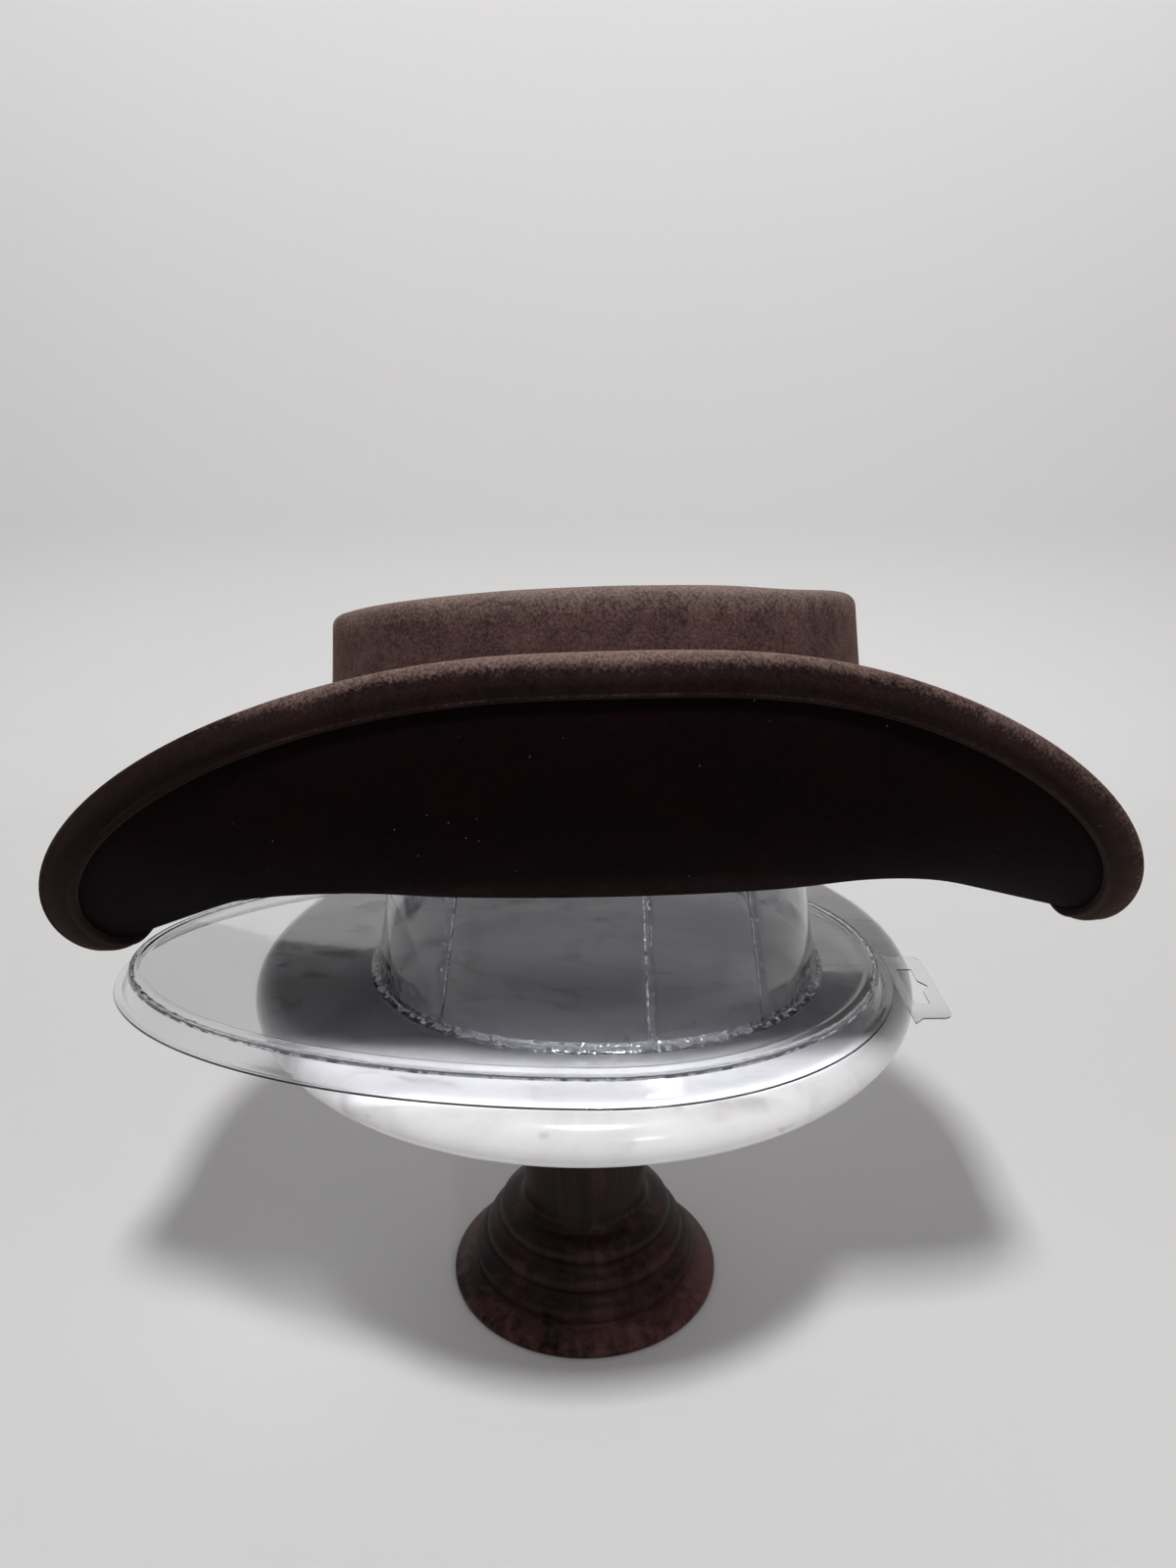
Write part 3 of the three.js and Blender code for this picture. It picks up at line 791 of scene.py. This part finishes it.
# Polished white marble: a hard smooth stone with a soft glow, faint grey veins and a few
# brownish spots, and sharp but weak reflections.
def marbleMaterial():
    material = newMaterial("polished white marble")
    spot = addNode(material, "ShaderNodeTexCoord").outputs["Object"]
    turned = addNode(material, "ShaderNodeMapping", {
        "Vector": spot, "Rotation": (0.2, 0.3, 0.7), "Scale": (1.0, 2.2, 1.0)}).outputs[0]
    cloud = addNode(material, "ShaderNodeTexNoise", {
        "Vector": turned, "Scale": 1000 / 90, "Detail": 6.0, "Roughness": 0.6,
        "Distortion": 0.8}).outputs["Fac"]
    base = addNode(
        material, "ShaderNodeValToRGB", {"Fac": cloud},
        [(0.3, "#d8d7d7"), (0.5, "#ededed"), (0.7, "#f6f6f5")]).outputs[0]
    vein = addNode(material, "ShaderNodeTexNoise", {
        "Vector": turned, "Scale": 1000 / 150, "Detail": 3.0, "Roughness": 0.5,
        "Distortion": 0.5}).outputs["Fac"]
    ridge = addNode(material, "ShaderNodeMath", {0: vein, 1: 0.5}, operation="SUBTRACT").outputs[0]
    ridge = addNode(material, "ShaderNodeMath", {0: ridge}, operation="ABSOLUTE").outputs[0]
    line = addNode(material, "ShaderNodeMapRange", {
        "Value": ridge, "From Min": 0.0, "From Max": 0.022, "To Min": 0.42, "To Max": 0.0},
        interpolation_type="SMOOTHSTEP").outputs[0]
    broken = addNode(material, "ShaderNodeTexNoise", {
        "Vector": spot, "Scale": 1000 / 30, "Detail": 3.0, "Roughness": 0.6}).outputs["Fac"]
    broken = addNode(material, "ShaderNodeMapRange", {
        "Value": broken, "From Min": 0.48, "From Max": 0.66}).outputs[0]
    line = addNode(material, "ShaderNodeMath", {0: line, 1: broken}, operation="MULTIPLY").outputs[0]
    colour = addNode(material, "ShaderNodeMix", {
        "Factor": line, 6: base, 7: linearColour("#857c80")}, data_type="RGBA").outputs[2]
    blotch = addNode(material, "ShaderNodeTexNoise", {
        "Vector": turned, "Scale": 1000 / 22, "Detail": 3.0, "Roughness": 0.5,
        "Distortion": 0.5}).outputs["Fac"]
    blotch = addNode(material, "ShaderNodeMapRange", {
        "Value": blotch, "From Min": 0.57, "From Max": 0.7, "To Min": 0.0, "To Max": 0.9}).outputs[0]
    across = addNode(material, "ShaderNodeVectorMath", {
        0: spot, 1: (0.8, -0.6, 0.0)}, operation="DOT_PRODUCT").outputs["Value"]
    leftward = addNode(material, "ShaderNodeMapRange", {
        "Value": across, "From Min": -0.09, "From Max": -0.03, "To Min": 1.0, "To Max": 0.1}).outputs[0]
    blotch = addNode(material, "ShaderNodeMath", {0: blotch, 1: leftward}, operation="MULTIPLY").outputs[0]
    colour = addNode(material, "ShaderNodeMix", {
        "Factor": blotch, 6: colour, 7: linearColour("#625a60")}, data_type="RGBA").outputs[2]
    rust = addNode(material, "ShaderNodeTexNoise", {
        "Vector": spot, "Scale": 1000 / 13, "Detail": 2.0, "Roughness": 0.5}).outputs["Fac"]
    rust = addNode(material, "ShaderNodeMapRange", {
        "Value": rust, "From Min": 0.7, "From Max": 0.8, "To Min": 0.0, "To Max": 0.6}).outputs[0]
    colour = addNode(material, "ShaderNodeMix", {
        "Factor": rust, 6: colour, 7: linearColour("#9b807a")}, data_type="RGBA").outputs[2]
    roughness = addNode(material, "ShaderNodeMapRange", {
        "Value": cloud, "From Min": 0.3, "From Max": 0.7, "To Min": 0.16, "To Max": 0.26}).outputs[0]
    shader = addNode(material, "ShaderNodeBsdfPrincipled", {
        "Base Color": colour, "Roughness": roughness, "IOR": 1.5, "Subsurface Weight": 0.12,
        "Subsurface Radius": (0.006, 0.005, 0.004), "Subsurface Scale": 1.0})
    addNode(material, "ShaderNodeOutputMaterial", {"Surface": shader.outputs[0]})
    return material


def buildMarble():
    edge = marble["thickness"] / 2
    inner, outer = marble["flatRadii"]
    profile = [(0, 0), (inner, 0), (outer, 0)]
    for number in range(marble["edgeRows"] + 1):
        turn = math.radians(-90 + number * 180 / marble["edgeRows"])
        profile.append((marble["radius"] - edge + edge * math.cos(turn), edge + edge * math.sin(turn)))
    profile += [(radius, marble["thickness"]) for radius in (outer, inner, 0)]
    place = Matrix.Translation((0, 0, marble["bottom"]))
    piece = spinProfile("marble_disc_polished", profile, marble["steps"], place)
    dress(piece, marbleMaterial(), "white_marble", "marble_disc")


buildMarble()

foot = {
    "radius": 62,
    "edgeHeight": 3,
    "coneHeight": 8,
    "coneTopRadius": 55,
    "beadCount": 3,
    "beadHeight": 10.2,
    "beadTopRadius": 40,
    "beadStep": 6,
    "beadGroove": 2.5,
    "neckCove": 5,
    "neckRadius": 28,
    "neckTopRadius": 31.5,
    "height": 149,
    "beadRows": 12,
    "steps": 128,
}


# Turned hardwood, stained dark and waxed: satin, with fine rings left by the turning, straight
# grain along the post, and a redder worn base edge.
def woodMaterial():
    material = newMaterial("turned hardwood, dark stain")
    spot = addNode(material, "ShaderNodeTexCoord").outputs["Object"]
    stretched = addNode(material, "ShaderNodeMapping", {
        "Vector": spot, "Scale": (1.0, 1.0, 0.12)}).outputs[0]
    grain = addNode(material, "ShaderNodeTexNoise", {
        "Vector": stretched, "Scale": 1000 / 5, "Detail": 6.0, "Roughness": 0.65,
        "Distortion": 0.4}).outputs["Fac"]
    broad = addNode(material, "ShaderNodeTexNoise", {
        "Vector": spot, "Scale": 1000 / 40, "Detail": 3.0, "Roughness": 0.55}).outputs["Fac"]
    both = addNode(material, "ShaderNodeMath", {0: grain, 1: broad}, operation="ADD").outputs[0]
    tone = addNode(material, "ShaderNodeMapRange", {
        "Value": both, "From Min": 0.75, "From Max": 1.25}).outputs[0]
    colour = addNode(
        material, "ShaderNodeValToRGB", {"Fac": tone},
        [(0.0, "#120808"), (0.5, "#251414"), (1.0, "#412628")]).outputs[0]
    height = addNode(material, "ShaderNodeSeparateXYZ", {"Vector": spot}).outputs[2]
    low = addNode(material, "ShaderNodeMapRange", {
        "Value": height, "From Min": 0.002, "From Max": 0.014, "To Min": 0.75, "To Max": 0.0}).outputs[0]
    lightening = addNode(material, "ShaderNodeMath", {0: low, 1: tone}, operation="MULTIPLY").outputs[0]
    colour = addNode(material, "ShaderNodeMix", {
        "Factor": lightening, 6: colour, 7: linearColour("#754e4b")}, data_type="RGBA").outputs[2]
    turning = addNode(material, "ShaderNodeTexWave", {
        "Vector": spot, "Scale": 1000 / 2.2 / 20, "Distortion": 1.5, "Detail": 2.0},
        wave_type="BANDS", bands_direction="Z").outputs["Fac"]
    relief = addNode(material, "ShaderNodeBump", {"Height": grain, "Strength": 0.18, "Distance": 0.0006})
    relief = addNode(material, "ShaderNodeBump", {
        "Height": turning, "Strength": 0.1, "Distance": 0.0003, "Normal": relief.outputs[0]})
    roughness = addNode(material, "ShaderNodeMapRange", {
        "Value": both, "From Min": 0.7, "From Max": 1.3, "To Min": 0.28, "To Max": 0.46}).outputs[0]
    shader = addNode(material, "ShaderNodeBsdfPrincipled", {
        "Base Color": colour, "Roughness": roughness, "Specular IOR Level": 0.13,
        "Normal": relief.outputs[0]})
    addNode(material, "ShaderNodeOutputMaterial", {"Surface": shader.outputs[0]})
    return material


def buildFoot():
    radius, edge = foot["radius"], foot["edgeHeight"]
    cone, coneTop = foot["coneTopRadius"], foot["coneHeight"]
    profile = [(0, 0), (30, 0), (radius - 0.8, 0)]  # the base's edges are rounded by about 1 mm
    profile += [(radius - 0.2, 0.3), (radius, 1), (radius, edge - 0.6)]
    profile += [(radius - 0.4, edge + 0.1), (radius - 1.2, edge + 0.9)]
    profile += [(cone + 1.4, coneTop - 1.4), (cone, coneTop)]
    for bead in range(foot["beadCount"]):
        radius = foot["beadTopRadius"] + foot["beadStep"] * (foot["beadCount"] - 1 - bead)
        bottom = foot["coneHeight"] + foot["beadHeight"] * bead
        groove = radius - foot["beadGroove"]
        profile.append((groove, bottom + 0.3))
        for number in range(1, foot["beadRows"]):  # rounded, fullest a little below its middle
            turn = math.radians(-78 + number * 156 / foot["beadRows"])
            profile.append((
                groove + foot["beadGroove"] * max(0, math.cos(turn)),
                bottom + foot["beadHeight"] * (0.46 + 0.42 * math.sin(turn))))
    top = foot["coneHeight"] + foot["beadHeight"] * foot["beadCount"]
    for number in range(7):  # cove up into the plain neck
        turn = math.radians(number * 15)
        profile.append((
            foot["neckRadius"] + foot["neckCove"] * (1 - math.sin(turn)),
            top + foot["neckCove"] * (1 - math.cos(turn))))
    profile += [(foot["neckTopRadius"], foot["height"] - 1), (foot["neckTopRadius"] - 1, foot["height"])]
    profile += [(12, foot["height"]), (0, foot["height"])]
    piece = spinProfile("wooden_foot_turned", profile, foot["steps"], Matrix.Identity(4))
    dress(piece, woodMaterial(), "dark_wood", "wooden_foot")


buildFoot()


# Floor, backdrop, light and camera.

studio = {
    "wall": "#d9d9d8",
    "wallDistance": 900,  # beyond the place of a camera that looks from the back
    "bendRadius": 260,
    "bendRows": 16,
    "frontReach": 2500,
    "halfWidth": 3000,
    "wallHeight": 3000,
    "cameraPlace": (1.5, -470, 394.5),
    "pitchDownDegrees": 18,
    "focalPixels": 1202,
    "framePixels": 1600,
    "sensorHeight": 36,
    "roomColour": "#ece4ea",
    "roomStrength": 0.235,
}
# Places and aims of the lamps are in metres, and their power is in watts.
lamps = [
    {"name": "ceiling lamp", "size": (0.25, 0.25), "watts": 33, "place": (0.05, -0.9, 2.1),
     "aim": (0, -0.02, 0.25), "spreadDegrees": 180},
    {"name": "front lamp", "size": (0.15, 0.15), "watts": 2, "place": (0.5, -1.5, 0.6),
     "aim": (0, -0.02, 0.2), "spreadDegrees": 180},
    {"name": "wall wash", "size": (2.4, 0.5), "watts": 3.9, "place": (0, 0.35, 1.9),
     "aim": (0, 0.9, 0.9), "spreadDegrees": 75},
]


def plainMaterial(name, hexText):
    material = newMaterial(name)
    spot = addNode(material, "ShaderNodeTexCoord").outputs["Object"]
    faint = addNode(material, "ShaderNodeTexNoise", {
        "Vector": spot, "Scale": 300.0, "Detail": 2.0}).outputs["Fac"]
    relief = addNode(material, "ShaderNodeBump", {"Height": faint, "Strength": 0.05, "Distance": 0.0005})
    shader = addNode(material, "ShaderNodeBsdfPrincipled", {
        "Base Color": linearColour(hexText), "Roughness": 0.9, "Normal": relief.outputs[0]})
    addNode(material, "ShaderNodeOutputMaterial", {"Surface": shader.outputs[0]})
    return material


def buildBackdrop():
    bm = bmesh.new()
    reach, bend = studio["wallDistance"], studio["bendRadius"]
    path = [(-studio["frontReach"], 0), (reach - bend, 0)]
    for number in range(1, studio["bendRows"] + 1):
        turn = math.radians(number * 90 / studio["bendRows"])
        path.append((reach - bend + bend * math.sin(turn), bend * (1 - math.cos(turn))))
    path.append((reach, studio["wallHeight"]))
    verts = [bm.verts.new((-studio["halfWidth"], y, z)) for y, z in path]
    edges = [bm.edges.new(pair) for pair in zip(verts, verts[1:])]
    grown = bmesh.ops.extrude_edge_only(bm, edges=edges)["geom"]
    moved = [item for item in grown if isinstance(item, bmesh.types.BMVert)]
    bmesh.ops.translate(bm, verts=moved, vec=(2 * studio["halfWidth"], 0, 0))
    bmesh.ops.recalc_face_normals(bm, faces=bm.faces)
    bmesh.ops.transform(bm, matrix=Matrix.Scale(mm, 4), verts=bm.verts)
    piece = finishPiece("backdrop", bm)
    piece.data.materials.append(plainMaterial("plain pale floor and wall", studio["wall"]))


buildBackdrop()


for lamp in lamps:
    data = bpy.data.lights.new(lamp["name"], "AREA")
    data.shape = "RECTANGLE"
    data.size, data.size_y = lamp["size"]
    data.energy = lamp["watts"]
    data.spread = math.radians(lamp["spreadDegrees"])
    light = bpy.data.objects.new(lamp["name"], data)
    bpy.context.scene.collection.objects.link(light)
    light.location = lamp["place"]
    toward = Vector(lamp["aim"]) - Vector(lamp["place"])
    light.rotation_euler = toward.to_track_quat("-Z", "Y").to_euler()

world = bpy.data.worlds.new("soft room")
world.use_nodes = True
world.node_tree.nodes["Background"].inputs["Color"].default_value = linearColour(studio["roomColour"])
world.node_tree.nodes["Background"].inputs["Strength"].default_value = studio["roomStrength"]
bpy.context.scene.world = world


def addCamera():
    data = bpy.data.cameras.new("camera")
    data.sensor_fit = "VERTICAL"
    data.sensor_height = studio["sensorHeight"]
    data.lens = studio["sensorHeight"] * studio["focalPixels"] / studio["framePixels"]
    data.clip_start = 0.01
    viewer = bpy.data.objects.new("camera", data)
    bpy.context.scene.collection.objects.link(viewer)
    viewer.location = Vector(studio["cameraPlace"]) * mm
    viewer.rotation_euler = (math.radians(90 - studio["pitchDownDegrees"]), 0, 0)
    bpy.context.scene.camera = viewer


addCamera()
bpy.context.scene.view_settings.view_transform = "Standard"
print("light and camera set")
